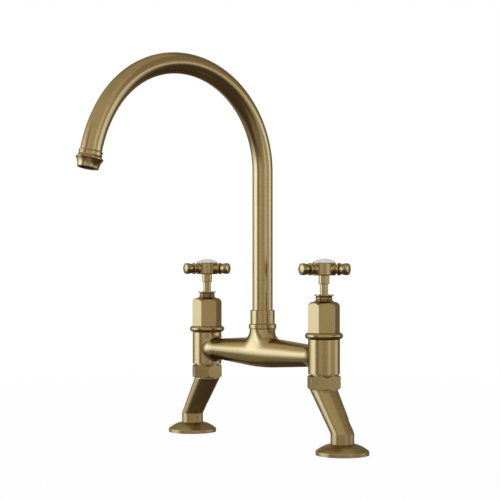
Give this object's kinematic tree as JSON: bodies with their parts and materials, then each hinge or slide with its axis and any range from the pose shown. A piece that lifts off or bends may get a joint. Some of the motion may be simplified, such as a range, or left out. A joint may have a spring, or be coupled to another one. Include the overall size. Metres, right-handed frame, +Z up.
{
  "type": "bridge mixer tap",
  "caption": "Brushed brass bridge kitchen tap: cranked legs, three-armed handles with white buttons and a swivelling swan-neck spout.",
  "frame": {"origin": "on the worktop, midway between the two tap-hole centres", "axes": "+Z up; X along the bridge with the hot side at -X; the spout reaches out along -Y"},
  "size_m": [0.3108, 0.2627, 0.4138],
  "materials": {
    "brushed_brass": "brushed satin",
    "white_ceramic": "white glaze",
    "seal_rubber": "matte",
    "seal_fibre": "matte fibre",
    "fastener_steel": "plain",
    "slip_plastic": "smooth",
    "dark_plastic": "matte"
  },
  "bodies": {
    "tap_body": {"bridge_body": "brushed_brass", "swivel_ring": "brushed_brass", "thrust_washer": "slip_plastic", "spout_grub_screw": "fastener_steel", "hot_flange": "brushed_brass", "hot_deck_seal": "seal_rubber", "hot_leg": "brushed_brass", "hot_union_nut": "brushed_brass", "hot_union_collar": "brushed_brass", "hot_union_washer": "seal_fibre", "hot_valve_body": "brushed_brass", "hot_valve_washer": "seal_fibre", "hot_seat_seal": "seal_rubber", "hot_fixed_disc": "white_ceramic", "hot_bead_ring": "brushed_brass", "hot_shroud": "brushed_brass", "cold_flange": "brushed_brass", "cold_deck_seal": "seal_rubber", "cold_leg": "brushed_brass", "cold_union_nut": "brushed_brass", "cold_union_collar": "brushed_brass", "cold_union_washer": "seal_fibre", "cold_valve_body": "brushed_brass", "cold_valve_washer": "seal_fibre", "cold_seat_seal": "seal_rubber", "cold_fixed_disc": "white_ceramic", "cold_bead_ring": "brushed_brass", "cold_shroud": "brushed_brass"},
    "spout": {"spout_spigot": "brushed_brass", "spout_orings": "seal_rubber", "spout_tube": "brushed_brass", "nozzle": "brushed_brass", "aerator_housing": "brushed_brass", "aerator_insert": "dark_plastic", "aerator_washer": "seal_rubber"},
    "hot_control": {"hot_spindle": "brushed_brass", "hot_turning_disc": "white_ceramic", "hot_spindle_oring": "seal_rubber", "hot_spindle_clip": "fastener_steel", "hot_handle": "brushed_brass", "hot_handle_screw": "fastener_steel", "hot_button": "white_ceramic"},
    "cold_control": {"cold_spindle": "brushed_brass", "cold_turning_disc": "white_ceramic", "cold_spindle_oring": "seal_rubber", "cold_spindle_clip": "fastener_steel", "cold_handle": "brushed_brass", "cold_handle_screw": "fastener_steel", "cold_button": "white_ceramic"}
  },
  "joints": [
    {"name": "spout_swivel", "type": "hinge", "parent": "tap_body", "child": "spout", "pos_m": [0, 0, 0.1234], "axis": [0, 0, 1], "continuous": true},
    {"name": "hot_handle_turn", "type": "hinge", "parent": "tap_body", "child": "hot_control", "pos_m": [-0.1, 0, 0.19], "axis": [0, 0, 1], "range_deg": [0, 90]},
    {"name": "cold_handle_turn", "type": "hinge", "parent": "tap_body", "child": "cold_control", "pos_m": [0.1, 0, 0.19], "axis": [0, 0, 1], "range_deg": [-90, 0]}
  ]
}
